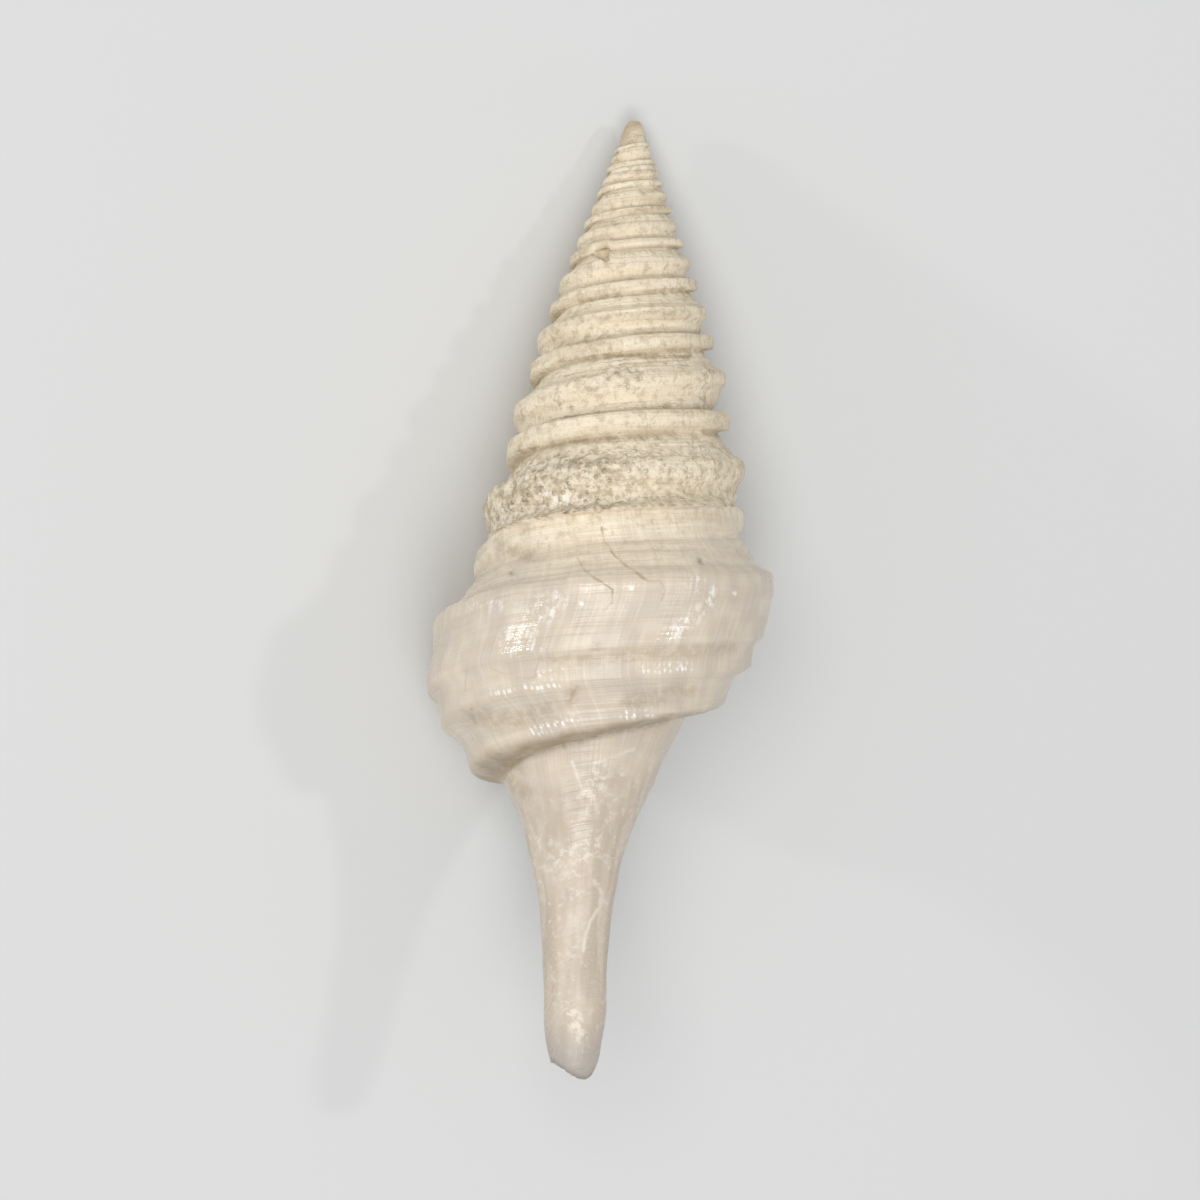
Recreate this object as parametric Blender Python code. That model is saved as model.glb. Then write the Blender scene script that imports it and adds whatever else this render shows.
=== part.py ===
"""A slender turret shell with a long straight canal, lying on its aperture with its back upwards.

The whole shell is one spiral surface. Each whorl's lower edge is welded to the upper edge of the
next whorl, the last whorl carries on down as the base, the neck and the canal, and the aperture
is open: its walls run back inside behind a thin outer lip.

The shell is worked out upright in its own frame, the axis down -Y from the tip of the spire's
cone and its back towards +Z, and is then laid in its resting pose. A place on it is given by its
turn, counted back from the lip, its depth along the axis and its radius.
"""

import bmesh
import bpy
import numpy as np
from math import pi, radians
from mathutils import Matrix

# Driving dimensions, metres. The shell is 50 mm long and 18 mm wide.
# Each row is a count of turns back from the lip, the depth of the suture, the radius of the keel
WHORLS = (
    (-1.0, 0.03280, 0.01340),
    (0.0, 0.02520, 0.00990),
    (1.0, 0.01940, 0.00725),
    (2.0, 0.01485, 0.00590),
    (3.0, 0.01145, 0.00480),
    (4.0, 0.00880, 0.00375),
    (5.0, 0.00690, 0.00287),
    (6.0, 0.00525, 0.00218),
    (7.0, 0.00400, 0.00165),
    (8.0, 0.00295, 0.00120),
    (9.0, 0.00208, 0.00078),
    (10.0, 0.00150, 0.00050),
)
TURNS = 9.0
APEX_DEPTH = 0.00124
TIP_DEPTH = 0.05140
LIP_ANGLE = radians(232)
LAST_LEAN = 0.02
SPIRE_LEAN = -0.03
BASE_FLARE = 0.16
FLARE_TURN = 0.644
SETTLING_TURN = 0.24

# Shape of a whorl: share of its height, radius over the keel's on the spire and on the last whorl
WHORL_PROFILE = (
    (0.00, 0.720, 0.735),
    (0.02, 0.865, 0.770),
    (0.19, 0.870, 0.790),
    (0.235, 0.770, 0.765),
    (0.35, 0.815, 0.825),
    (0.45, 0.890, 0.870),
    (0.55, 1.000, 0.995),
    (0.68, 1.000, 1.000),
    (0.80, 0.945, 0.985),
    (0.93, 0.940, 0.965),
)
# Below the last whorl the base steps inwards, a cord at each step, down to a shelf over the neck
BASE_PROFILE = (
    (1.000, 0.950),
    (1.046, 0.947),
    (1.120, 0.890),
    (1.203, 0.878),
    (1.286, 0.874),
    (1.362, 0.797),
    (1.430, 0.754),
    (1.517, 0.729),
    (1.588, 0.715),
    (1.630, 0.673),
    (1.640, 0.588),
)
NECK_START = 1.695

# Depth and radius of the neck, which bends away from the axis to the side of the lip
NECK_OUTLINE = (
    (0.0280, 0.00720),
    (0.0327, 0.00540),
    (0.0342, 0.00467),
    (0.0362, 0.00379),
    (0.0386, 0.00282),
    (0.0405, 0.00228),
    (0.0420, 0.00198),
    (0.0437, 0.00180),
    (0.0459, 0.00164),
    (0.0482, 0.00160),
    (0.0499, 0.00141),
    (0.0508, 0.00112),
    (0.0514, 0.00080),
)
NECK_SHARES = (0.0, 0.08, 0.16, 0.25, 0.36, 0.48, 0.60, 0.74, 0.86, 0.95, 1.0)
NECK_OFFSET = -0.00180
NECK_OFFSET_SLOPE = 0.025
NECK_OFFSET_DEPTH = 0.0327
NECK_BACK = -0.0004
COLUMELLA_TOP = 0.85
COLUMELLA_FOOT = 0.00025
COLUMELLA_TAPER = 2.5
TIP_ROUNDING = 0.0008
TIP_SLANT = radians(35)

# The aperture: the wall's thickness at the lip and at the tip, how far back inside the cavity goes,
# and how far the lip's edge is drawn back in its notch over the keel and along the canal
WALL = 0.0005
TIP_WALL = 0.0002
CAVITY_TURNS = 0.40
SINUS_TURNS = 0.035
CANAL_LIP_TURNS = 0.06
LIP_LINE_FADES_BY = 0.25

# Where one shape turns into another: spans of turns, then of shares of a whorl or of the neck
LEAN_SPAN = (1.7, 2.6)
SPIRE_SPAN = (0.5, 1.3)
SPIRE_LAG = 0.4
CORNER_SPAN = (0.8, 1.0)
DRAWN_IN_SPAN = (0.6, 1.0)
FLARE_SPAN = (0.7, 1.05)
NOTCH_TOP_SPAN = (0.0, 0.45)
NOTCH_FOOT_SPAN = (0.6, 1.0)
CANAL_SPAN = (1.2, 1.7)
COLUMELLA_SPAN = (0.0, 0.4)

# How finely the surface is made, and the distance that its sheets are welded within
STEPS_PER_TURN = 32
DOME_STEPS = 3
DOME_BLUNTNESS = 0.7
WELD = 1e-6
SHARP_ANGLE = radians(50)

# The resting pose: the tip of the spire dips, the shell rolls onto its lip, and the points that
# touch are worn flat to this depth
REST_PITCH = radians(14.5)
REST_ROLL = radians(-15.5)
WORN_FLAT = 0.0002

SHELL_COLOUR = (0.72, 0.64, 0.54, 1.0)
SHELL_ROUGHNESS = 0.35


def eased(share):
    share = np.clip(share, 0, 1)
    return share * share * (3 - 2 * share)


def across(span, x):
    """Rises smoothly from 0 at the start of the span to 1 at its end."""
    return eased((x - span[0]) / (span[1] - span[0]))


def through(knots, values, x):
    """A smooth curve through the values at the knots."""
    slopes = np.gradient(values, knots)
    last = np.clip(np.searchsorted(knots, x) - 1, 0, len(knots) - 2)
    span = knots[last + 1] - knots[last]
    share = (x - knots[last]) / span
    rise = eased(share)
    start_pull = share * (1 - share) ** 2 * span
    end_pull = share * share * (1 - share) * span
    level = values[last] * (1 - rise) + values[last + 1] * rise
    return level + slopes[last] * start_pull - slopes[last + 1] * end_pull


WHORL_TURNS, SUTURE_DEPTHS, KEEL_RADII = np.array(WHORLS).T


def suture_depth(turn):
    return np.exp(through(WHORL_TURNS, np.log(SUTURE_DEPTHS), turn))


def keel_radius(turn):
    return np.exp(through(WHORL_TURNS, np.log(KEEL_RADII), turn))


def whorl_height(turn):
    """How far the next suture lies below this one. The last whorl stops widening at the lip."""
    held = np.clip(SETTLING_TURN - turn, 0, None) ** 2 / (2 * SETTLING_TURN)
    return suture_depth(turn - 1 + held) - suture_depth(turn)


def place(turn, depth, radius, side=0.0, back=0.0):
    """The point at a turn, a depth and a radius round a centre off the axis by side and back."""
    angle = LIP_ANGLE - 2 * pi * turn
    right = radius * np.cos(angle)
    lean = LAST_LEAN + (SPIRE_LEAN - LAST_LEAN) * across(LEAN_SPAN, turn)
    return np.stack([right + side, -(depth + lean * right), radius * np.sin(angle) + back], -1)


def whorl_points(turn, share, spire_radius, last_radius):
    """One row of a whorl, between its own suture and the next."""
    height = whorl_height(turn)
    onto_spire = across(SPIRE_SPAN, turn - SPIRE_LAG * share)
    radius = last_radius + (spire_radius - last_radius) * onto_spire
    radius = radius * (1 + base_flare(turn) * across(FLARE_SPAN, share))
    return suture_depth(turn) + share * height, radius * keel_radius(turn)


def base_flare(turn):
    """The base widens towards the lip."""
    return BASE_FLARE * np.clip(FLARE_TURN - turn, 0, None)


def base_points(turn, share, radius):
    """One row of the base. Its top row comes out to meet the lip where the lip joins the whorl."""
    height = whorl_height(turn)
    radius = radius * keel_radius(turn) * (1 + base_flare(turn))
    if share == BASE_PROFILE[0][0]:
        joined = WHORL_PROFILE[0][2] * keel_radius(0.0)
        radius = radius + (joined - radius) * across(CORNER_SPAN, turn)
    return suture_depth(turn) + share * height, radius


def tip_depth(turn):
    """The end of the canal is a rounded tongue, longest on its back."""
    facing_back = np.sin(LIP_ANGLE - 2 * pi * turn + TIP_SLANT)
    return TIP_DEPTH - TIP_ROUNDING * (1 - np.clip(facing_back, 0, 1))


def neck_point(turn, share):
    """One row of the neck, round on its back and drawn in to the columella at the aperture."""
    height = whorl_height(turn)
    top = suture_depth(turn) + NECK_START * height
    depth = top + (tip_depth(turn) - top) * share
    depths, radii = np.array(NECK_OUTLINE).T
    side = NECK_OFFSET + NECK_OFFSET_SLOPE * (depth - NECK_OFFSET_DEPTH)
    neck = place(turn, depth, np.interp(depth, depths, radii), side, NECK_BACK)
    shelf = BASE_PROFILE[-1][1] * keel_radius(turn) * (1 + base_flare(turn))
    top_radius = COLUMELLA_TOP * shelf
    slim = COLUMELLA_FOOT + (top_radius - COLUMELLA_FOOT) * (1 - share) ** COLUMELLA_TAPER
    bent = across(COLUMELLA_SPAN, share)
    columella = place(turn, depth, slim, side * bent, NECK_BACK * bent)
    return neck + (columella - neck) * across(DRAWN_IN_SPAN, turn)[..., None]


def lip_line(turn, share):
    """The turn of a row's point: the lip's edge is drawn back over the keel and at the canal."""
    notch = SINUS_TURNS * across(NOTCH_TOP_SPAN, share) * (1 - across(NOTCH_FOOT_SPAN, share))
    canal = CANAL_LIP_TURNS * across(CANAL_SPAN, share)
    return turn + (notch + canal) * np.clip(1 - turn / LIP_LINE_FADES_BY, 0, None)


def body_rows(turn):
    """All the rows from the suture to the tip, columns by rows by 3, at the turns given."""
    rows = []
    for row in WHORL_PROFILE:
        at = lip_line(turn, row[0])
        rows.append(place(at, *whorl_points(at, *row)))
    for row in BASE_PROFILE:
        at = lip_line(turn, row[0])
        rows.append(place(at, *base_points(at, *row)))
    at = lip_line(turn, NECK_START)
    rows += [neck_point(at, share) for share in NECK_SHARES]
    return np.stack(rows, axis=1)


def spire_rows(turn):
    """The rows of a whorl that the next one covers, down to that whorl's suture."""
    rows = [place(turn, *whorl_points(turn, *row)) for row in WHORL_PROFILE]
    rows.append(place(turn - 1, *whorl_points(turn - 1, *WHORL_PROFILE[0])))
    return np.stack(rows, axis=1)


def lining(turn):
    """The inner face of the lip and of the wall behind it, a wall's thickness in."""
    points = body_rows(turn)
    down = np.gradient(points, axis=1)
    back = np.gradient(points, axis=0)
    inwards = np.cross(back, down)
    inwards /= np.linalg.norm(inwards, axis=2, keepdims=True)
    rows = points.shape[1]
    towards_tip = np.clip((np.arange(rows) - rows + len(NECK_SHARES)) / len(NECK_SHARES), 0, 1)
    wall = WALL + (TIP_WALL - WALL) * towards_tip
    inner = points + inwards * wall[None, :, None]
    inner[:, 0] = body_rows(turn + 1)[:, CORNER_ROW]
    return inner


# The first row of the base inside the aperture, where the lining meets the whorl before
CORNER_ROW = len(WHORL_PROFILE) + 1


def sheet(bm, points):
    """A grid of faces bent onto the points, an array of columns by rows by 3."""
    columns, rows = points.shape[:2]
    grid = bmesh.ops.create_grid(bm, x_segments=columns - 1, y_segments=rows - 1, size=1)
    for vert in grid["verts"]:
        column = round((vert.co.x + 1) / 2 * (columns - 1))
        row = round((vert.co.y + 1) / 2 * (rows - 1))
        vert.co = points[column, row]


def dome_over(rim):
    """Rows from the rim of the first whorl up to the tip of the spire."""
    rows = []
    for bend in np.linspace(0, pi / 2, DOME_STEPS + 1):
        height = rim[:, 1:2] + (-APEX_DEPTH - rim[:, 1:2]) * np.sin(bend)
        drawn_in = np.cos(bend) ** DOME_BLUNTNESS
        rows.append(np.hstack([rim[:, :1] * drawn_in, height, rim[:, 2:] * drawn_in]))
    return np.stack(rows, axis=1)


def cap(bm, outline):
    """An end over an outline of points."""
    return bm.faces.new([bm.verts.new(point) for point in outline])


def turns_between(start, end):
    return np.linspace(start, end, round((end - start) * STEPS_PER_TURN) + 1)


def shell_mesh():
    """The upright shell: sheets for the spire, the last whorl and the cavity, welded and capped."""
    spire = spire_rows(turns_between(1, TURNS))
    body = body_rows(turns_between(0, 1))
    cavity = turns_between(0, CAVITY_TURNS)
    inner = lining(cavity)
    pillar = body_rows(cavity + 1)[:, CORNER_ROW:]
    lip = np.stack([body[0], inner[0]])
    bm = bmesh.new()
    for points in (spire, body, pillar, inner, lip):
        sheet(bm, points)
    cap(bm, np.concatenate([inner[-1], pillar[-1, :0:-1]]))
    cap(bm, np.concatenate([body[:, -1], pillar[1:, -1], inner[::-1, -1]]))
    rim = np.concatenate([spire[-STEPS_PER_TURN - 1 :, 0], spire[-1, 1:]])
    sheet(bm, dome_over(rim))
    bmesh.ops.remove_doubles(bm, verts=bm.verts, dist=WELD)
    bmesh.ops.recalc_face_normals(bm, faces=bm.faces)
    mesh = bpy.data.meshes.new("shell")
    bm.to_mesh(mesh)
    bm.free()
    return mesh


def lay_down(mesh):
    """Turns the shell into its resting pose, its bounding box's bottom centre at the origin."""
    mesh.transform(Matrix.Rotation(-REST_PITCH, 4, "X") @ Matrix.Rotation(REST_ROLL, 4, "Y"))
    points = np.array([vert.co for vert in mesh.vertices])
    low, high = points.min(axis=0), points.max(axis=0)
    floor = low[2] + WORN_FLAT
    mesh.transform(Matrix.Translation((-(low[0] + high[0]) / 2, -(low[1] + high[1]) / 2, -floor)))


def wear_flat(mesh):
    """Cuts off what lies below the floor and closes each cut with a flat face."""
    bm = bmesh.new()
    bm.from_mesh(mesh)
    everything = bm.verts[:] + bm.edges[:] + bm.faces[:]
    bmesh.ops.bisect_plane(bm, geom=everything, dist=WELD, plane_no=(0, 0, 1), clear_inner=True)
    bmesh.ops.holes_fill(bm, edges=[edge for edge in bm.edges if edge.is_boundary])
    bm.to_mesh(mesh)
    bm.free()


def shell_material():
    material = bpy.data.materials.new("shell")
    material.use_nodes = True
    surface = material.node_tree.nodes["Principled BSDF"]
    surface.inputs["Base Color"].default_value = SHELL_COLOUR
    surface.inputs["Roughness"].default_value = SHELL_ROUGHNESS
    surface.inputs["Metallic"].default_value = 0.0
    return material


def main():
    for leftover in list(bpy.data.objects):
        bpy.data.objects.remove(leftover)
    collection = bpy.data.collections.new("turret shell")
    bpy.context.scene.collection.children.link(collection)
    mesh = shell_mesh()
    lay_down(mesh)
    wear_flat(mesh)
    mesh.shade_smooth()
    mesh.set_sharp_from_angle(angle=SHARP_ANGLE)
    mesh.materials.append(shell_material())
    collection.objects.link(bpy.data.objects.new("shell", mesh))


main()
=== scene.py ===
"""The looks of a slender turret shell that lies on its aperture with its back upwards.

The shell is one finely made surface. It follows the solid's own formulas, worked out upright with
the axis down -Y and the back towards +Z, and is then laid in the resting pose. A place on it is
given by its turn, counted back from the lip, and by its share of the whorl's height, which runs on
past 1 over the base.
"""

import bmesh
import bpy
import numpy as np
from math import pi, radians
from mathutils import Matrix, Vector, noise
from mathutils.bvhtree import BVHTree


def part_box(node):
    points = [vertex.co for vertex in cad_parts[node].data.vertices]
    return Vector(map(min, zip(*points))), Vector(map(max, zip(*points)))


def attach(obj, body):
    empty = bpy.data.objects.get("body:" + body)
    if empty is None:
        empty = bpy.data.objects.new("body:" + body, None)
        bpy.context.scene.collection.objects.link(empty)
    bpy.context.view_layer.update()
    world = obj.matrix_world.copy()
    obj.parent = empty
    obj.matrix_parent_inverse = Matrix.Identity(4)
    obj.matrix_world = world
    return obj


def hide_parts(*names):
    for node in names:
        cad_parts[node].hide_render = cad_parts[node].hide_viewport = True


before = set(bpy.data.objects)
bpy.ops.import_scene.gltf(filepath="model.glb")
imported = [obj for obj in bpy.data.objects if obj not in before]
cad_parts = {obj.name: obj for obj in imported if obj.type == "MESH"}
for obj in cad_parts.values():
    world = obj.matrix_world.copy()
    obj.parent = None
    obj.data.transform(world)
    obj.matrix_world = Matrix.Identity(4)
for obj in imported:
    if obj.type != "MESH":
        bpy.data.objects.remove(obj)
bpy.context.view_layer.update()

# The solid's dimensions, in metres. Each row has the turns back from the lip, the depth of the
# suture and the radius of the keel
WHORLS = (
    (-1.0, 0.03280, 0.01340), (0.0, 0.02520, 0.00990), (1.0, 0.01940, 0.00725),
    (2.0, 0.01485, 0.00590), (3.0, 0.01145, 0.00480), (4.0, 0.00880, 0.00375),
    (5.0, 0.00690, 0.00287), (6.0, 0.00525, 0.00218), (7.0, 0.00400, 0.00165),
    (8.0, 0.00295, 0.00120), (9.0, 0.00208, 0.00078), (10.0, 0.00150, 0.00050),
)
TURNS = 9.0
APEX_DEPTH = 0.00124
TIP_DEPTH = 0.05140
LIP_ANGLE = radians(232)
LAST_LEAN = 0.02
SPIRE_LEAN = -0.03
BASE_FLARE = 0.16
FLARE_TURN = 0.644
SETTLING_TURN = 0.24

# A whorl's share of its height, and its radius over the keel's on the spire and on the last whorl
WHORL_PROFILE = (
    (0.00, 0.720, 0.735), (0.02, 0.865, 0.770), (0.19, 0.870, 0.790), (0.235, 0.770, 0.765),
    (0.35, 0.815, 0.825), (0.45, 0.890, 0.870), (0.55, 1.000, 0.995), (0.68, 1.000, 1.000),
    (0.80, 0.945, 0.985), (0.93, 0.940, 0.965),
)
# Below the last whorl the base steps inwards, a cord at each step, down to a shelf over the neck
BASE_PROFILE = (
    (1.000, 0.950), (1.046, 0.947), (1.120, 0.890), (1.203, 0.878), (1.286, 0.874), (1.362, 0.797),
    (1.430, 0.754), (1.517, 0.729), (1.588, 0.715), (1.630, 0.673), (1.640, 0.588),
)
NECK_START = 1.695

# Depth and radius of the neck, which bends away from the axis to the side of the lip
NECK_OUTLINE = (
    (0.0280, 0.00720), (0.0327, 0.00540), (0.0342, 0.00467), (0.0362, 0.00379), (0.0386, 0.00282),
    (0.0405, 0.00228), (0.0420, 0.00198), (0.0437, 0.00180), (0.0459, 0.00164), (0.0482, 0.00160),
    (0.0499, 0.00141), (0.0508, 0.00112), (0.0514, 0.00080),
)
NECK_OFFSET = -0.00180
NECK_OFFSET_SLOPE = 0.025
NECK_OFFSET_DEPTH = 0.0327
NECK_BACK = -0.0004
COLUMELLA_TOP = 0.85
COLUMELLA_FOOT = 0.00025
COLUMELLA_TAPER = 2.5
TIP_ROUNDING = 0.0008
TIP_SLANT = radians(35)

# The aperture: its walls, how far back it goes, and how far the lip's edge is drawn back
WALL = 0.0005
TIP_WALL = 0.0002
CAVITY_TURNS = 0.40
SINUS_TURNS = 0.035
CANAL_LIP_TURNS = 0.06
LIP_LINE_FADES_BY = 0.25

# Where one shape turns into another: spans of turns, then of shares of a whorl or of the neck
LEAN_SPAN = (1.7, 2.6)
SPIRE_SPAN = (0.5, 1.3)
SPIRE_LAG = 0.4
CORNER_SPAN = (0.8, 1.0)
DRAWN_IN_SPAN = (0.6, 1.0)
FLARE_SPAN = (0.7, 1.05)
NOTCH_SPANS = ((0.0, 0.45), (0.6, 1.0))
CANAL_SPAN = (1.2, 1.7)
COLUMELLA_SPAN = (0.0, 0.4)

# The resting pose, and how deep the points that touch the ground are worn flat
REST_PITCH = radians(14.5)
REST_ROLL = radians(-15.5)
WORN_FLAT = 0.0002

# How finely the surface is made: columns in a turn, and rows of each stretch of the profile
STEPS_PER_TURN = 260
SMALL_STEPS_PER_TURN = 130
SMALL_FROM_TURN = 4.0
WHORL_ROWS = 36
BASE_ROWS = 27
SHELF_ROWS = 3
NECK_ROWS = 52
SHOULDER = (0.22, 0.50)
SHOULDER_FINENESS = 2.2
# A whorl is about this high against its keel's radius
WHORL_SLIMNESS = 0.77
# The neck's rows count on past the base's, so that one number tells where a point is
NECK_SHARE_START = 2.0
DOME_STEPS = 10
DOME_BLUNTNESS = 0.5
DOME_TAPER = 0.30
CAVITY_END_SHARE = 0.5
PROFILE_SAMPLES = 2001
SPIRAL_SAMPLES = 4001
LIP_ROUNDING = 0.0002
LIP_STEPS = 5
LINING_SMOOTHINGS = 12
WELD = 1e-6
# The lining's turns are counted from this much below, which tells them from the outside's
INSIDE = 5.0

# The camera, in the upright shell's frame: it stands over the back, a little towards the canal's
# end, and its picture leans a little
PIVOT = Vector((0.0, -0.02654, 0.0))
CAMERA_PITCH = radians(7.2)
CAMERA_ROLL = radians(2.1)
CAMERA_DISTANCE = 0.300
CAMERA_ASIDE = -0.0009
CLIP_NEAR = 0.01
CLIP_FAR = 10.0
PICTURE_WIDTH = 0.06224
PICTURE_PIXELS = 1200
SENSOR_WIDTH = 36.0
MM = 0.001


def colour(red, green, blue):
    """A colour given as a screen shows it, 0 to 255, as the linear one that nodes take."""
    parts = [part / 255 for part in (red, green, blue)]
    return tuple(p / 12.92 if p <= 0.04045 else ((p + 0.055) / 1.055) ** 2.4 for p in parts) + (1.0,)


# Where a growth line lies, in turns, and over which shares
GROWTH_NOTCH = 0.016
GROWTH_CANAL = 0.020
GROWTH_SPANS = ((0.0, 0.5), (0.6, 1.15))

# Relief: heights in metres at one turn, less on smaller whorls
RELIEF_TURN = 0.4
RELIEF_POWER = 0.7
# Cords by share, half width, height, and how much of it is worn off on the back
CORDS = (
    (0.285, 0.019, 0.00011, 0.75), (0.352, 0.019, 0.00011, 0.75), (0.420, 0.019, 0.00011, 0.75),
    (0.050, 0.022, 0.00005, 0.0), (0.165, 0.022, 0.00005, 0.0),
)
CORDS_END = 1.2
# The solid's own cords and keel, where painted glints and polish can lie, by share and half width
GLINTING_CORDS = ((1.055, 0.05), (1.29, 0.05), (1.43, 0.05), (1.56, 0.05), (0.5, 0.12))
# The keel and the strap are unevenly worn
KEEL_WEAR = 0.00012
KEEL_WEAR_LUMPS = (0.0016, 3)
KEEL_EDGES = ((0.6, 0.12), (0.1, 0.09))
# Grooves by share and half width: under the strap, and on each side of the suture
GROOVES = ((0.245, 0.045), (1.0, 0.035), (0.0, 0.012))
GROOVES_END = 1.5
# On the middle of its back the shell is worn: its grooves, each from share to share, are partly
# bridged. The last two are on the base
BACK_TURN = 0.394
WORN_SPAN = (0.10, 0.23)
WORN_GROOVES = ((0.17, 0.55), (1.046, 1.286), (1.286, 1.588))
WORN_SHARE = 0.60
WORN_MOST = (3.5, 7.0)
SUTURE_FILL = 0.13
SUTURE_FOOT = (0.90, 1.0)
SUTURE_HEAD = (0.0, 0.02)
HIDDEN_SPAN = (0.29, 0.36)
# Noise by its lumps' size in metres, octaves and offset, or by its lines' length, width and offset
GROWTH_WAVES = 0.00006
FINE_GROWTH = (0.0011, 0.012, 0.0)
BROAD_GROWTH = (0.0024, 0.02, 7.0)
BROAD_GROWTH_SHARE = 0.6
GROWTH_FADES = (0.8, 1.3, 1.0, 0.5)
NECK_WAVES = 0.00008
NECK_LUMPS = (0.0022, 2, 3.0)
FINE_ROUGHNESS = 0.000015
FINE_LUMPS = (0.0005, 2, 21.0)
# The crust: the shares and turns where it starts and ends, and its ridges and grains
CRUST_HEIGHT = 0.00011
CRUST_SHARES = ((0.22, 0.5), (1.0, 1.04))
CRUST_TURNS = ((0.98, 1.08), (1.62, 1.95))
CRUST_THINS = (1.36, 1.46, 1.0, 0.45)
CRUST_PATCH_TURNS = ((1.5, 1.9), (2.6, 3.2))
CRUST_PATCH_SHARE = 0.7
CRUST_LEVEL = 0.6
CRUST_RIDGES = 1.6
CRUST_RIDGE_LUMPS = (0.0007, 1, 5.0)
CRUST_GRAINS = 1.1
CRUST_GRAIN_LUMPS = (0.00036, 1, 9.0)

# Dents at pixels of the picture: place, radius in pixels and depth in metres. Each has a raised rim
DENT_EDGE = (0.45, 1.0)
DENT_RIM = (1.25, 0.3)
DENT_RIM_HEIGHT = 0.35
DENT_FACING = (0.1, 0.4)
DENTS = (
    ((602, 252), 9.0, 0.00042), ((607, 260), 5.0, 0.00020), ((700, 561), 3.5, 0.00014),
    ((511, 573), 3.5, 0.00012), ((607, 508), 7.0, 0.00016), ((587, 804), 3.5, 0.00010),
)

# Colours as the eye sees them
PEARL_WARM = colour(225, 211, 190)
PEARL_COOL = colour(210, 197, 181)
GLOSS_WHITE = colour(243, 233, 216)
# Near white for painted glints and painted highlights
PAINTED_GLINT = colour(255, 253, 246)
STREAK = colour(203, 186, 163)
CREAM_LIGHT = colour(244, 230, 204)
CREAM_DARK = colour(223, 207, 178)
CREAM_DIRT = colour(190, 171, 139)
# Brown for dirt, also used as painted shade in grooves, creases and under ledges
DIRT_AND_SHADE_BROWN = colour(152, 132, 100)
CANAL_LIGHT = colour(213, 200, 182)
CANAL_DARK = colour(194, 180, 163)
CANAL_PINK = colour(204, 184, 167)
TIP_GREY = colour(174, 166, 157)
APEX_BROWN = colour(238, 208, 178)
CRUST_LIGHT = colour(240, 227, 204)
CRUST_DARK = colour(180, 163, 136)
PEARL_ROUGHNESS = 0.32
CHALK_ROUGHNESS = 0.66
UNEVEN_ROUGHNESS = 0.08
UNEVEN_LUMPS = (0.0012, 2, 51.0)
DIRT_ROUGHNESS = 0.15
POLISHED = 0.16
ROUGHNESS_LIMITS = (0.12, 0.9)
SHELL_IOR = 1.55

# Where the looks change: in turns, shares or metres, or by how squarely the camera is faced
CHALK_SPAN = (0.75, 1.12)
DIRT_AND_SHADE_SPAN = (0.95, 1.1)
NECK_JOIN = 0.25
TIP_START = 0.78
TIP_STRENGTH = 0.85
APEX_SPAN = (-0.0026, -0.0003)
APEX_STRENGTH = 0.7
CREAM_SHARES = (0.0, 0.3, 0.9, 0.55)
CREAM_FADES = (0.30, 0.70)
# The crease over the neck is darkened with dirt and painted shade
CREASE = (1.645, 0.05)
CREASE_END = (0.50, 0.65)
CREASE_DIRT_AND_SHADE = 0.75
CREASE_PATCHES = (0.35, 1.0, 0.6)
# The spire's grooves are darkened with dirt and painted shade
GROOVE_DIRT_AND_SHADE = 0.55
FRONT_FACING = (0.1, 0.3)
NECK_GRAIN = (1, 0.15, 1)
BANDS = (0.004, 0.0004, 0.0, 2)
STRIPES = (0.012, 0.00022, 3.0, 2)
BAND_SHARE = 0.6
BAND_EDGES = (-0.5, 0.5)
# Patches of noise: the lumps' size, octaves and offset, then what between() is given
PATCHES = {
    "crust": (0.0022, 2, 11.0, 0.05, 0.45),
    "dirt_and_shade": (0.0011, 2, 31.0, -0.5, 0.3, 0.35),
    "glint_and_polish": (0.0035, 1, 41.0, 0.25, 0.5),
    "gloss_and_highlight": (0.005, 2, 47.0, 0.2, 0.6, 0.0, 0.5),
    "warm": (0.0018, 2, 61.0, -0.4, 0.4),
    "lengthwise": (0.0005, 2, 71.0, -0.45, 0.45),
    "pinkish": (0.0008, 1, 81.0, 0.0, 0.45, 0.0, 0.6),
    "cream": (0.002, 2, 91.0, -0.6, 0.3, 0.6),
}

# Noise in the shader: a scale in lumps per millimetre, detail and roughness. In the grain it has
# two scales, along the growth's turns and down the whorl
MOTTLE = (2.2, 3.0, 0.7)
GRIT = (7.0, 1.0, 0.7)
STREAKS = ((3.4, 0.30), 2.0, 0.6)
GROWTH_LINES = ((3.2, 0.10), 2.0, 0.6)
STRIAE = ((0.12, 4.5), 1.0, 0.6)
BEADS_PER_MM = (3.1, 2.3)
BEAD_RANDOMNESS = 0.55
BEAD_EDGE = (0.18, 0.46, 1.0, 0.0)
BUBBLES_PER_MM = 2.6
BUBBLE_EDGE = (0.0, 0.45, 1.0, 0.0)
# How the noise becomes strength: from which value to which, then the strengths there
DIRTY_CREAM = (0.48, 0.66, 0.0, 0.6)
DARK_STREAKS = (0.50, 0.72, 0.0, 0.20)
PALE_STREAKS = (0.46, 0.30, 0.0, 0.18)
DARK_CANAL = (0.42, 0.62, 0.0, 0.50)
PALE_CANAL = (0.47, 0.32, 0.0, 0.35)
CRUST_SPOTS = (0.36, 0.62)
WEAR_AND_HIGHLIGHT_GAPS = (0.54, 0.42)
STAIN_AND_SHADE_GAPS = (0.36, 0.60, 0.3, 1.0)
GLINT_GAPS = (0.40, 0.58, 1.0, 0.4)
HIGHLIGHT_GAPS = (0.52, 0.42)
HIGHLIGHT_STREAKS = (0.62, 0.42)
BAND_STRENGTH = 0.45
CRUST_STRENGTH = 0.7
HIGHLIGHT_STRENGTH = 0.6
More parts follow.
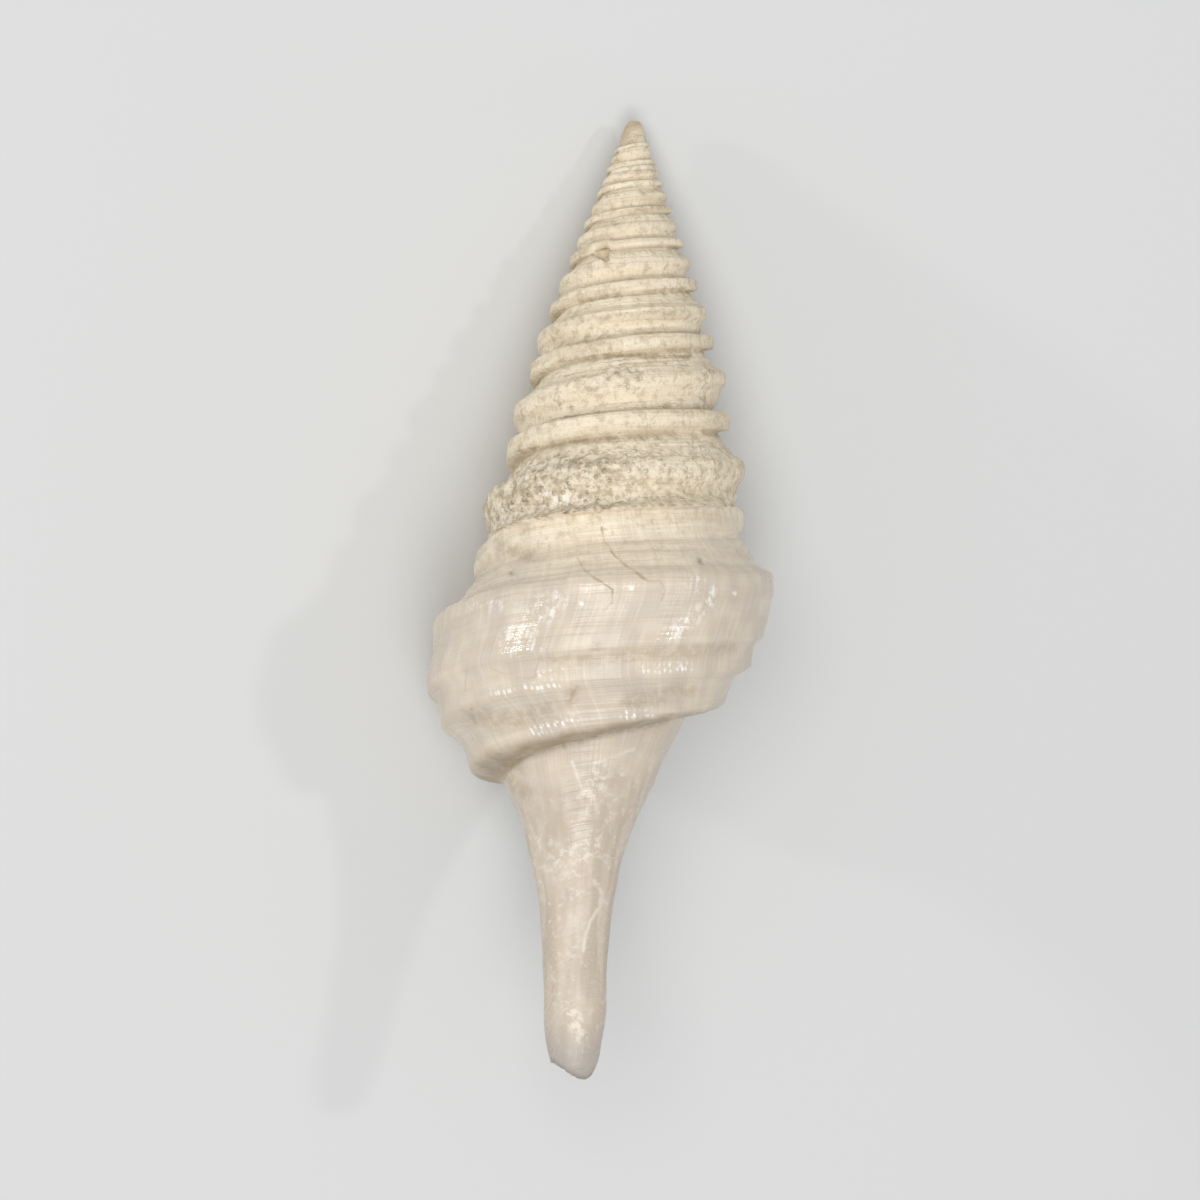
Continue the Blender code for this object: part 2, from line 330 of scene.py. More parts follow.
# Heights in millimetres, some on pearl and on chalk
GROWTH_LINE_HEIGHTS = (0.028, 0.026)
NECK_LINES = (1.0, 0.5)
STRIA_HEIGHTS = (0.048, 0.080)
GRIT_HEIGHTS = (0.008, 0.060)
BEAD_HEIGHT = 0.03
BUBBLE_HEIGHT = 0.12
SCAR_HEIGHT = 0.02
CRACK_HEIGHT = -0.02

# Marks at pixels of the picture: lines through points, or single points. Noise shakes them by
# millimetres and lets them fade in places
MARK_SHAKE = 0.25
SHAKE_SCALE = 1.1
MARK_FADES = (0.38, 0.58, 0.35, 1.0)
MARKS = {
    "crack": (
        ((602, 527), (604, 541), (615, 556), (633, 571), (648, 580), (660, 580), (664, 590), (662, 600)),
        ((577, 558), (585, 571), (604, 583), (613, 590), (612, 602), (604, 610)),
    ),
    # The pits are painted darker inside: painted shade in the dents
    "pit": (((700, 561),), ((511, 573),)),
    "nick": (((575, 687), (570, 701)), ((562, 733), (565, 748)), ((472, 710), (476, 724))),
    "hairline": (
        ((467, 662), (466, 691)), ((489, 667), (503, 673)),
        ((516, 678), (535, 678), (541, 652), (515, 655)),
        ((681, 436), (681, 450), (693, 450), (693, 436)),
    ),
    # Pale scars; the last, on the chip, is a painted highlight on its lit facet
    "scar_and_highlight": (
        ((594, 881), (601, 890), (603, 898), (600, 908), (591, 922), (586, 936), (584, 950)),
        ((596, 763), (634, 749)), ((572, 762), (581, 788)), ((594, 249), (597, 258), (603, 263)),
    ),
    # The flecks are painted highlights at glints
    "highlight_fleck": (((582, 604),), ((712, 593),), ((735, 593),), ((632, 588),), ((622, 774),)),
}
# For each kind of mark: where its edge starts and ends in millimetres, its colour and strength
MARK_COLOURS = {
    "crack": (0.00, 0.11, colour(172, 148, 114), 0.72),
    # Dark for the pits: painted shade in the dents
    "pit": (0.04, 0.17, colour(150, 132, 106), 0.75),
    "nick": (0.00, 0.17, colour(172, 152, 122), 0.50),
    "hairline": (0.00, 0.08, colour(190, 172, 148), 0.5),
    # Pale for the scars, and a painted highlight on the chip's lit facet
    "scar_and_highlight": (0.00, 0.17, colour(240, 229, 210), 0.6),
    # Near white for the painted highlight flecks
    "highlight_fleck": (0.03, 0.20, colour(255, 251, 240), 0.8),
}
# Patches at pixels of the picture, each a line with a half width in pixels. Rows of beads on the cords
# carry painted glints, and between them lie glossy patches painted lighter as highlights, pale worn patches
# that are partly painted highlight, and stains that are partly painted shade
PATCH_EDGE = (0.3, 1.2)
PATCH_FACING = (0.15, 0.4)
WEAR_AND_HIGHLIGHT_STRENGTH = 0.5
STAIN_AND_SHADE_STRENGTH = 0.36
CREASE_STRENGTH = 0.7
# Painted glints: the beads in these rows are painted near white and polished
BEAD_ROWS = (
    (5, (493, 693), (512, 692)), (5, (524, 690), (542, 687), (556, 684)), (4, (539, 674), (561, 671)),
    (5, (645, 671), (689, 667)), (5, (532, 732), (573, 720)), (4, (623, 716), (652, 713)),
)
# Glossy patches, polished and painted lighter as painted highlights
GLOSSY_HIGHLIGHTS = (
    (15, (512, 640), (530, 622), (556, 602)), (9, (506, 652), (536, 646)),
    (9, (690, 578), (712, 592), (704, 606)), (9, (664, 640), (700, 612)), (7, (470, 606), (500, 603)),
    (6, (586, 588), (634, 588)), (8, (545, 500), (590, 498)),
)
# Pale worn patches, partly painted highlights where light catches the whorl and the neck
WEAR_AND_HIGHLIGHTS = (
    (14, (600, 772), (590, 792)), (9, (505, 645), (560, 600)), (7, (690, 622), (712, 600)),
    (6, (660, 642), (690, 624)), (3, (500, 521), (632, 519), (726, 505)), (12, (560, 858), (594, 846)),
    (10, (570, 1010), (582, 1036)),
)
# Stains, partly painted shade under the ledge over the neck and in the spire's grooves
STAINS_AND_SHADE = (
    (13, (472, 714), (488, 716)), (14, (490, 760), (516, 766)), (14, (500, 722), (552, 710)),
    (11, (628, 702), (688, 690)), (10, (500, 772), (524, 792)), (9, (500, 548), (530, 556)),
    (9, (574, 690), (569, 702)), (12, (560, 338), (612, 346)), (3, (616, 174), (654, 171)),
    (3, (606, 195), (660, 190)), (5, (600, 214), (664, 207)), (5, (600, 224), (622, 222)),
    (4, (574, 300), (684, 290)), (4, (562, 320), (684, 311)), (10, (566, 462), (604, 470)),
    (9, (520, 494), (540, 490)), (8, (596, 646), (590, 662)), (9, (548, 660), (640, 656), (730, 648)),
)
# Painted shade, with some dirt, in the crease between the last cord and the neck, and painted shade in the
# grooves under two straps
CREASES = (
    (7, (494, 766), (528, 752)), (5, (522, 754), (560, 742), (600, 733)),
    (4, (596, 734), (640, 725), (676, 717)), (3, (560, 361), (620, 355), (690, 357)),
    (3, (520, 452), (580, 441), (660, 437)),
)

# The floor and the light
FLOOR_HALF = 1.5
FLOOR_DROP = 0.00002
FLOOR_COLOUR = colour(214, 214, 212)
FLOOR_ROUGHNESS = 0.9
WORLD_COLOUR = (0.95, 0.97, 1.0, 1.0)
WORLD_STRENGTH = 0.50
# Each lamp's name, place from the shell's middle as the camera sees it, size and power
LAMPS = (
    ("overhead", (-0.06, 0.06, 0.52), 0.30, 0.84),
    ("low", (0.04, -0.20, 0.47), 0.26, 0.74),
    ("left", (-0.42, 0.10, 0.26), 0.035, 0.30),
    ("right", (0.38, 0.06, 0.34), 0.035, 0.22),
)


def eased(share):
    share = np.clip(share, 0, 1)
    return share * share * (3 - 2 * share)


def across(span, x):
    """Rises smoothly from 0 at the start of the span to 1 at its end."""
    return eased((x - span[0]) / (span[1] - span[0]))


def within(spans, x):
    """Rises from 0 to 1 over the first span and falls back over the second."""
    return across(spans[0], x) * (1 - across(spans[1], x))


def hermite(knots, values, slopes, x):
    last = np.clip(np.searchsorted(knots, x, side="right") - 1, 0, len(knots) - 2)
    span = knots[last + 1] - knots[last]
    share = (x - knots[last]) / span
    rise = eased(share)
    start_pull = share * (1 - share) ** 2 * span
    end_pull = share * share * (1 - share) * span
    level = values[..., last] * (1 - rise) + values[..., last + 1] * rise
    return level + slopes[..., last] * start_pull - slopes[..., last + 1] * end_pull


def through(knots, values, x):
    """A smooth curve through the values at the knots."""
    return hermite(knots, values, np.gradient(values, knots), x)


def kept_within(knots, values, x):
    """A smooth curve through the values that never swings past them. It ends level."""
    steps = np.diff(knots)
    rises = np.diff(values, axis=-1) / steps
    before, after = rises[..., :-1], rises[..., 1:]
    same_way = before * after > 0
    first_weight = 2 * steps[1:] + steps[:-1]
    second_weight = steps[1:] + 2 * steps[:-1]
    blend = first_weight / np.where(same_way, before, 1) + second_weight / np.where(same_way, after, 1)
    slopes = np.zeros_like(values)
    slopes[..., 1:-1] = np.where(same_way, (first_weight + second_weight) / blend, 0)
    return hermite(knots, values, slopes, x)


WHORL_TURNS, SUTURE_DEPTHS, KEEL_RADII = np.array(WHORLS).T
NECK_DEPTHS, NECK_RADII = np.array(NECK_OUTLINE).T
WHORL_KNOTS = np.array([row[0] for row in WHORL_PROFILE] + [1.0])
BODY_KNOTS = np.array([row[0] for row in WHORL_PROFILE + BASE_PROFILE])


def suture_depth(turn):
    return np.exp(through(WHORL_TURNS, np.log(SUTURE_DEPTHS), turn))


def keel_radius(turn):
    return np.exp(through(WHORL_TURNS, np.log(KEEL_RADII), turn))


def whorl_height(turn):
    """How far the next suture lies below this one. The last whorl stops widening at the lip."""
    held = np.clip(SETTLING_TURN - turn, 0, None) ** 2 / (2 * SETTLING_TURN)
    return suture_depth(turn - 1 + held) - suture_depth(turn)


def lean_of(turn):
    return LAST_LEAN + (SPIRE_LEAN - LAST_LEAN) * across(LEAN_SPAN, turn)


def place(turn, depth, radius, lean, side=0.0, back=0.0):
    """The point at a turn, a depth and a radius round a centre off the axis by side and back."""
    angle = LIP_ANGLE - 2 * pi * turn
    right = radius * np.cos(angle)
    return np.stack([right + side, -(depth + lean * right), radius * np.sin(angle) + back], -1)


def base_flare(turn):
    """The base widens towards the lip."""
    return BASE_FLARE * np.clip(FLARE_TURN - turn, 0, None)


def whorl_radius(turn, share, spire_radius, last_radius):
    onto_spire = across(SPIRE_SPAN, turn - SPIRE_LAG * share)
    radius = last_radius + (spire_radius - last_radius) * onto_spire
    return radius * (1 + base_flare(turn) * across(FLARE_SPAN, share)) * keel_radius(turn)


def base_radius(turn, share, radius):
    """The base's top row comes out to meet the lip where the lip joins the whorl."""
    radius = radius * keel_radius(turn) * (1 + base_flare(turn))
    if share == BASE_PROFILE[0][0]:
        joined = WHORL_PROFILE[0][2] * keel_radius(0.0)
        radius = radius + (joined - radius) * across(CORNER_SPAN, turn)
    return radius


def lip_line(turn, share):
    """The turn of a row's point: the lip's edge is drawn back over the keel and at the canal."""
    notch = SINUS_TURNS * within(NOTCH_SPANS, share)
    canal = CANAL_LIP_TURNS * across(CANAL_SPAN, share)
    return turn + (notch + canal) * np.clip(1 - turn / LIP_LINE_FADES_BY, 0, None)


def body_row(turn, share):
    """One row of the last whorl and its base."""
    at = lip_line(turn, share)
    radii = [whorl_radius(at, *row) for row in WHORL_PROFILE]
    radii += [base_radius(at, *row) for row in BASE_PROFILE]
    radius = kept_within(BODY_KNOTS, np.stack(radii, -1), share)
    return place(at, suture_depth(at) + share * whorl_height(at), radius, lean_of(at))


def spire_row(turn, share):
    """One row of a whorl that the next one covers, down to that whorl's suture."""
    radii = [whorl_radius(turn, *row) for row in WHORL_PROFILE]
    radii.append(whorl_radius(turn - 1, *WHORL_PROFILE[0]))
    radius = kept_within(WHORL_KNOTS, np.stack(radii, -1), share)
    to_next = np.clip((share - WHORL_KNOTS[-2]) / (1 - WHORL_KNOTS[-2]), 0, 1)
    lean = lean_of(turn) + (lean_of(turn - 1) - lean_of(turn)) * to_next
    return place(turn, suture_depth(turn) + share * whorl_height(turn), radius, lean)


def tip_depth(turn):
    """The end of the canal is a rounded tongue, longest on its back."""
    facing_back = np.sin(LIP_ANGLE - 2 * pi * turn + TIP_SLANT)
    return TIP_DEPTH - TIP_ROUNDING * (1 - np.clip(facing_back, 0, 1))


def neck_row(turn, share):
    """One row of the neck, round on its back and drawn in to the columella at the aperture."""
    at = lip_line(turn, NECK_START)
    top = suture_depth(at) + NECK_START * whorl_height(at)
    depth = top + (tip_depth(at) - top) * share
    side = NECK_OFFSET + NECK_OFFSET_SLOPE * (depth - NECK_OFFSET_DEPTH)
    lean = lean_of(at)
    neck = place(at, depth, kept_within(NECK_DEPTHS, NECK_RADII, depth), lean, side, NECK_BACK)
    shelf = BASE_PROFILE[-1][1] * keel_radius(at) * (1 + base_flare(at))
    top_radius = COLUMELLA_TOP * shelf
    slim = COLUMELLA_FOOT + (top_radius - COLUMELLA_FOOT) * (1 - share) ** COLUMELLA_TAPER
    bent = across(COLUMELLA_SPAN, share)
    columella = place(at, depth, slim, lean, side * bent, NECK_BACK * bent)
    return neck + (columella - neck) * across(DRAWN_IN_SPAN, at)[..., None]


def evenly_along(knots, radii, height, rows):
    """Shares spaced evenly along the profile's own length, and closer over the shoulder's cords."""
    shares = np.linspace(knots[0], knots[-1], PROFILE_SAMPLES)
    run = np.stack([shares * height, kept_within(knots, radii, shares)])
    steps = np.hypot(*np.diff(run))
    on_shoulder = (shares[1:] > SHOULDER[0]) & (shares[1:] < SHOULDER[1])
    length = np.concatenate([[0], np.cumsum(steps * np.where(on_shoulder, SHOULDER_FINENESS, 1))])
    return np.interp(np.linspace(0, length[-1], rows + 1), length, shares)


MEAN_RADII = np.array([(row[1] + row[2]) / 2 for row in WHORL_PROFILE] + [BASE_PROFILE[0][1]])
WHORL_SHARES = evenly_along(WHORL_KNOTS, MEAN_RADII, WHORL_SLIMNESS, WHORL_ROWS)
BASE_SHARES = evenly_along(*np.array(BASE_PROFILE).T, WHORL_SLIMNESS, BASE_ROWS)
BODY_SHARES = np.concatenate([WHORL_SHARES, BASE_SHARES[1:]])
NECK_SHARES = np.linspace(0, 1, NECK_ROWS)


def body_points(turn):
    """The rows from the suture to the tip, columns by rows by 3, and each row's share."""
    rows = [body_row(turn, share) for share in BODY_SHARES]
    neck = [neck_row(turn, share) for share in NECK_SHARES]
    steps = np.linspace(0, 1, SHELF_ROWS + 2)[1:-1]
    shelf = [rows[-1] + (neck[0] - rows[-1]) * step for step in steps]
    shelf_shares = BODY_SHARES[-1] + (NECK_START - BODY_SHARES[-1]) * steps
    shares = np.concatenate([BODY_SHARES, shelf_shares, NECK_SHARE_START + NECK_SHARES])
    return np.stack(rows + shelf + neck, axis=1), shares


def spire_points(turn):
    return np.stack([spire_row(turn, share) for share in WHORL_SHARES], axis=1)


def unit(vectors):
    return vectors / np.linalg.norm(vectors, axis=-1, keepdims=True)


def from_back(turn):
    """How far a turn lies from the middle of the shell's back, in turns."""
    return np.abs((turn - BACK_TURN + 0.5) % 1 - 0.5)


def on_back(turn):
    """1 on the middle of the shell's back, 0 at its sides and on its face."""
    return 1 - across(WORN_SPAN, from_back(turn))


def filled(points, turns, shares):
    """Points with the suture partly filled on the shell's back, alike above and below it."""
    foot = across(SUTURE_FOOT, shares) if shares[-1] <= 1 else 0 * shares
    near = np.maximum(foot, 1 - across(SUTURE_HEAD, shares))
    outwards = 1 + SUTURE_FILL * on_back(turns)[:, None] * near
    return points * np.stack([outwards, np.ones_like(outwards), outwards], -1)


def worn(points, turns, shares):
    """Points, columns by rows by 3, with the grooves partly bridged on the shell's back."""
    points = filled(points, turns, shares)
    most = WORN_SHARE + (1 - WORN_SHARE) * across(WORN_MOST, turns)
    share_bridged = (most * on_back(turns))[:, None, None]
    for start, end in WORN_GROOVES:
        if end > shares[-1]:
            break
        first, last = np.searchsorted(shares, (start, end))
        along = ((shares[first + 1 : last] - shares[first]) / (shares[last] - shares[first]))[:, None]
        high, low = points[:, first : first + 1], points[:, last : last + 1]
        groove = points[:, first + 1 : last]
        outwards = unit(groove * (1, 0, 1))
        lift = ((high + (low - high) * along - groove) * outwards).sum(axis=2, keepdims=True)
        points[:, first + 1 : last] = groove + share_bridged * np.clip(lift, 0, None) * outwards
    return points


def dome_points(rim):
    """Rows from the rim of the first whorl up to the tip of the spire."""
    bend = np.linspace(0, pi / 2, DOME_STEPS + 1)
    drawn_in = (1 - DOME_TAPER * np.sin(bend)) * np.cos(bend) ** DOME_BLUNTNESS
    points = rim[:, None] * np.stack([drawn_in, 0 * bend + 1, drawn_in], -1)
    points[:, :, 1] += (-APEX_DEPTH - rim[:, 1:2]) * np.sin(bend)
    return points


def lining_points(outer, corner):
    """The inner face of the lip and of the wall behind it, smooth and a wall's thickness in."""
    inwards = unit(np.cross(np.gradient(outer, axis=0), np.gradient(outer, axis=1)))
    rows = outer.shape[1]
    towards_tip = np.clip((np.arange(rows) - rows + NECK_ROWS) / NECK_ROWS, 0, 1)
    wall = WALL + (TIP_WALL - WALL) * towards_tip
    inner = outer + inwards * wall[:, None]
    inner[:, 0] = corner
    for _ in range(LINING_SMOOTHINGS):
        inner[:, 1:-1] = (inner[:, :-2] + 2 * inner[:, 1:-1] + inner[:, 2:]) / 4
    return inner


# The base's row where the aperture's lining meets the whorl before
CORNER_ROW = int(np.argmin(abs(BODY_SHARES - BASE_PROFILE[1][0])))


def lip_edge(outer, inner, ahead):
    """Rows that carry the edge of the lip round from its outer to its inner face."""
    bend = np.linspace(0, pi, LIP_STEPS + 1)[:, None, None]
    return outer + (inner - outer) * ((1 - np.cos(bend)) / 2) + ahead * np.sin(bend) * LIP_ROUNDING


def length_along(turn):
    """Length along the keel's spiral from the lip."""
    turns = np.linspace(WHORL_TURNS[0], TURNS + 1, SPIRAL_SAMPLES)
    length = np.cumsum(2 * pi * keel_radius(turns)) * (turns[1] - turns[0])
    return np.interp(turn, turns, length)


def growth_sweep(share):
    """How far back a growth line lies: it follows the lip, drawn back over the keel."""
    return GROWTH_NOTCH * within(GROWTH_SPANS, share) + GROWTH_CANAL * across(CANAL_SPAN, share)


def store(mesh, name, values):
    layer = mesh.attributes.new(name, "FLOAT", "POINT")
    layer.data.foreach_set("value", np.asarray(values, np.float32))


class Surface:
    """Grids of faces gathered for one mesh, with each point's turn, share and place in the grain."""

    def __init__(self):
        self.parts = []
        self.faces = []
        self.count = 0

    def add(self, points, turns, shares, down):
        along = length_along(turns - growth_sweep(shares))
        self.parts.append((points, turns, shares, np.stack([along, down], -1) / MM))
        self.count += len(points)

    def sheet(self, points, turn, shares, feet=()):
        """A grid. Its first faces can have one more point each, in the middle of their feet."""
        columns, rows = points.shape[:2]
        index = self.count + np.arange(columns * rows).reshape(columns, rows)
        corners = [index[:-1, :-1], index[1:, :-1], index[1:, 1:], index[:-1, 1:]]
        faces = np.stack(corners, -1).tolist()
        for step in range(len(feet)):
            faces[step][-1].insert(3, self.count + columns * rows + step)
        self.faces += [face for strip in faces for face in strip]
        down = np.linalg.norm(np.diff(points, axis=1), axis=2)
        down = np.concatenate([np.zeros((columns, 1)), np.cumsum(down, axis=1)], axis=1)
        turns = np.repeat(turn, rows)
        self.add(points.reshape(-1, 3), turns, np.tile(shares, columns), down.reshape(-1))
        if len(feet):
            middle = (turn[: len(feet)] + turn[1 : len(feet) + 1]) / 2
            self.add(feet, middle, np.full(len(feet), shares[-1]), down[: len(feet), -1])

    def cap(self, outline, turn, share):
        self.faces.append(list(range(self.count, self.count + len(outline))))
        full = np.ones(len(outline))
        self.add(outline, turn * full, share * full, 0 * full)

    def mesh(self, name):
        points, turns, shares, grain = (np.concatenate(part) for part in zip(*self.parts))
        mesh = bpy.data.meshes.new(name)
        mesh.from_pydata(points.tolist(), [], self.faces)
        store(mesh, "turn", turns)
        store(mesh, "share", shares)
        corners = np.concatenate(self.faces)
        layer = mesh.uv_layers.new(name="grain")
        layer.uv.foreach_set("vector", grain[corners].astype(np.float32).reshape(-1))
        return mesh


def turns_between(start, end, steps=STEPS_PER_TURN):
    return np.linspace(start, end, round((end - start) * steps) + 1)


def welded(surface):
    """The sheets of a surface as one closed mesh. Small gaps where many meet are closed."""
    mesh = surface.mesh("turret_shell")
    bm = bmesh.new()
    bm.from_mesh(mesh)
    bmesh.ops.remove_doubles(bm, verts=bm.verts, dist=WELD)
    doubled = [face for face in bm.faces if any(len(edge.link_faces) > 2 for edge in face.edges)]
    doubled = [face for face in doubled if any(edge.is_boundary for edge in face.edges)]
    bmesh.ops.delete(bm, geom=doubled, context="FACES")
    open_edges = [edge for edge in bm.edges if edge.is_boundary]
    bmesh.ops.holes_fill(bm, edges=open_edges, sides=0)
    bmesh.ops.recalc_face_normals(bm, faces=bm.faces)
    bm.to_mesh(mesh)
    bm.free()
    return mesh


def raw_shell():
    """The upright shell before its surface is worked."""
    surface = Surface()
    body_turns = turns_between(0, 1)
    body, body_shares = body_points(body_turns)
    surface.sheet(worn(body, body_turns, body_shares), body_turns, body_shares)
    # The first small whorl's foot also takes the points of the finer whorl below it
    large_turns = turns_between(1, SMALL_FROM_TURN)
    surface.sheet(worn(spire_points(large_turns), large_turns, WHORL_SHARES), large_turns, WHORL_SHARES)
    small_turns = turns_between(SMALL_FROM_TURN, TURNS, SMALL_STEPS_PER_TURN)
    middles = (small_turns[:-1] + small_turns[1:]) / 2
    middles = middles[middles < SMALL_FROM_TURN + 1]
    feet = filled(spire_row(middles, 1.0)[:, None], middles, np.ones(1))[:, 0]
    small = worn(spire_points(small_turns), small_turns, WHORL_SHARES)
    small[-1, -1] = small[-1 - SMALL_STEPS_PER_TURN, 0]
    surface.sheet(small, small_turns, WHORL_SHARES, feet)
    # The aperture's two faces, its lip, its far end and the canal's end
    cavity = turns_between(0, CAVITY_TURNS, SMALL_STEPS_PER_TURN)
    pillar = body_points(cavity + 1)[0][:, CORNER_ROW:]
    surface.sheet(pillar, cavity + 1, body_shares[CORNER_ROW:])
    inner = lining_points(body_points(cavity)[0], pillar[:, 0])
    surface.sheet(inner, cavity - INSIDE, body_shares)
    lip = lip_edge(body[0], inner[0], unit(body[0] - body[1]))
    surface.sheet(lip, np.full(len(lip), -INSIDE), body_shares)
    cavity_end = np.concatenate([inner[-1], pillar[-1, :0:-1]])
    surface.cap(cavity_end, CAVITY_TURNS - INSIDE, CAVITY_END_SHARE)
    tip = np.concatenate([body[:, -1], pillar[1:, -1], inner[::-1, -1], lip[-2:0:-1, -1]])
    surface.cap(tip, -INSIDE, NECK_SHARE_START + 1)
    rim = np.concatenate([small[-SMALL_STEPS_PER_TURN - 1 :, 0], small[-1, 1:]])
    surface.sheet(dome_points(rim), np.full(len(rim), TURNS), np.zeros(DOME_STEPS + 1))
    return welded(surface)


def read(items, name, width=1):
    """A number or a vector from each of the items, in rows as wide as it is."""
    values = np.empty((len(items), width), np.float32)
    items.foreach_get(name, values.reshape(-1))
    return values.astype(float)


def moved(points, matrix):
    matrix = np.array(matrix)
    return points @ matrix[:3, :3].T + matrix[:3, 3]


def resting(points):
    """The turn and the shift that lay the upright shell in its place in the frame."""
    turned = Matrix.Rotation(-REST_PITCH, 4, "X") @ Matrix.Rotation(REST_ROLL, 4, "Y")
    points = moved(points, turned)
    low, high = points.min(axis=0), points.max(axis=0)
    node_low, node_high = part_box("shell")
    shift = (np.array(node_low) + node_high - low - high) / 2
    shift[2] = -(low[2] + WORN_FLAT)
    return Matrix.Translation(shift) @ turned


def new_object(name, data):
    made = bpy.data.objects.new(name, data)
    bpy.context.scene.collection.objects.link(made)
    return made


def new_material(name):
    """A material and its shader."""
    material = bpy.data.materials.new(name)
    material.use_nodes = True
    return material, material.node_tree.nodes["Principled BSDF"]


# The camera and the picture

def camera_stand():
    """Where the camera stands in the upright shell's frame, as a matrix."""
    turned = Matrix.Rotation(CAMERA_PITCH, 3, "X") @ Matrix.Rotation(CAMERA_ROLL, 3, "Z")
    spot = PIVOT + turned @ Vector((CAMERA_ASIDE, 0, CAMERA_DISTANCE))
    return Matrix.Translation(spot) @ turned.to_4x4()


def in_picture(points):
    """Where upright points show in the picture, in its pixels."""
    seen = moved(points, camera_stand().inverted())
    scale = PICTURE_PIXELS / PICTURE_WIDTH * CAMERA_DISTANCE / -seen[:, 2]
    return np.stack([seen[:, 0] * scale, -seen[:, 1] * scale], -1) + PICTURE_PIXELS / 2


def facing_camera(points, normals):
    """How squarely the surface faces the camera: 1 straight on, 0 edge on or turned away."""
    to_camera = unit(np.array(camera_stand().translation) - points)
    return np.clip((normals * to_camera).sum(axis=1), 0, 1)


def on_surface(faces, stand, pixels):
    """The points of the surface that show at the picture's pixels, in millimetres."""
    found = []
    for x, y in np.array(pixels) / PICTURE_PIXELS - 0.5:
        aim = Vector((x * PICTURE_WIDTH, -y * PICTURE_WIDTH, -CAMERA_DISTANCE))
        spot = faces.ray_cast(stand.translation, (stand.to_3x3() @ aim).normalized())[0]
        found.append(spot / MM)
    return found


# Relief, worked into the mesh along its normals

def bump_at(x, centre, half_width):
    return np.exp(-(((x - centre) / half_width) ** 2))


def bumps(x, rows):
    """Bumps at each row's middle and half width, 1 at most."""
    return np.clip(sum(bump_at(x, *row) for row in rows), 0, 1)


def lumps(points, size, octaves=1, offset=0.0):
    """Smooth noise over the points, about -1 to 1, with lumps of the size given in metres."""
    scaled = (points / size + offset).tolist()
    if octaves == 1:
        return np.array([noise.noise(point) for point in scaled])
    return np.array([noise.fractal(point, 1.0, 2.0, octaves) for point in scaled])


def lines(along, down, length, width, offset, octaves=1):
    """Smooth noise drawn out along the whorl or down it."""
    return lumps(np.stack([along / length, down / width, 0 * along + offset], -1), 1.0, octaves)


def between(values, low, high, start=0.0, end=1.0):
    """Goes smoothly from start to end as the values go from low to high."""
    return start + (end - start) * across((low, high), values)


def patches(points, name):
    size, octaves, offset, *ramp = PATCHES[name]
    return between(lumps(points, size, octaves, offset), *ramp)


def groove_depth(share):
    """How deep a point lies in one of the grooves, 0 to 1."""
    return bumps(share, GROOVES) * (share < GROOVES_END)


def crust_weight(points, turn, share):
    """Where the whorl over the last one is crusted, thickest on its lower half at the left."""
    heavy = within(CRUST_TURNS, turn) * between(turn, *CRUST_THINS)
    around = CRUST_PATCH_SHARE * patches(points, "crust") * within(CRUST_PATCH_TURNS, turn)
    return within(CRUST_SHARES, share) * np.maximum(heavy, around)


def relief(points, normals, turn, share):
    """How far each point of the surface is raised, in metres, and how crusted it is."""
    outside = turn >= 0
    neck = share >= NECK_SHARE_START
    whorl = outside & (share < CORDS_END)
    crown = np.clip(turn, 0, TURNS)
    size = (keel_radius(crown) / keel_radius(RELIEF_TURN)) ** RELIEF_POWER
    raised = np.zeros(len(points))
    for centre, half_width, height, worn_off in CORDS:
        cord = whorl * height * size * bump_at(share, centre, half_width)
        raised += cord * (1 - worn_off * on_back(turn))
    raised += whorl * KEEL_WEAR * size * lumps(points, *KEEL_WEAR_LUMPS) * bumps(share, KEEL_EDGES)
    along = length_along(crown - growth_sweep(share))
    down = share * whorl_height(crown)
    grown = lines(along, down, *FINE_GROWTH) + BROAD_GROWTH_SHARE * lines(along, down, *BROAD_GROWTH)
    raised += (outside & ~neck) * GROWTH_WAVES * size * grown * between(turn, *GROWTH_FADES)
    raised += (outside & neck) * NECK_WAVES * lumps(points, *NECK_LUMPS)
    crust = crust_weight(points, turn, share) * outside
    lumpy = CRUST_LEVEL - CRUST_RIDGES * np.abs(lumps(points, *CRUST_RIDGE_LUMPS))
    lumpy += CRUST_GRAINS * lumps(points, *CRUST_GRAIN_LUMPS)
    raised += CRUST_HEIGHT * crust * lumpy
    raised += outside * FINE_ROUGHNESS * lumps(points, *FINE_LUMPS)
    pixels = in_picture(points)
    facing = across(DENT_FACING, facing_camera(points, normals)) * outside
    for centre, radius, depth in DENTS:
        apart = np.linalg.norm(pixels - centre, axis=1) / radius
        dent = DENT_RIM_HEIGHT * bump_at(apart, *DENT_RIM) - (1 - across(DENT_EDGE, apart))
        raised += facing * depth * dent
    return raised, crust


# The shader

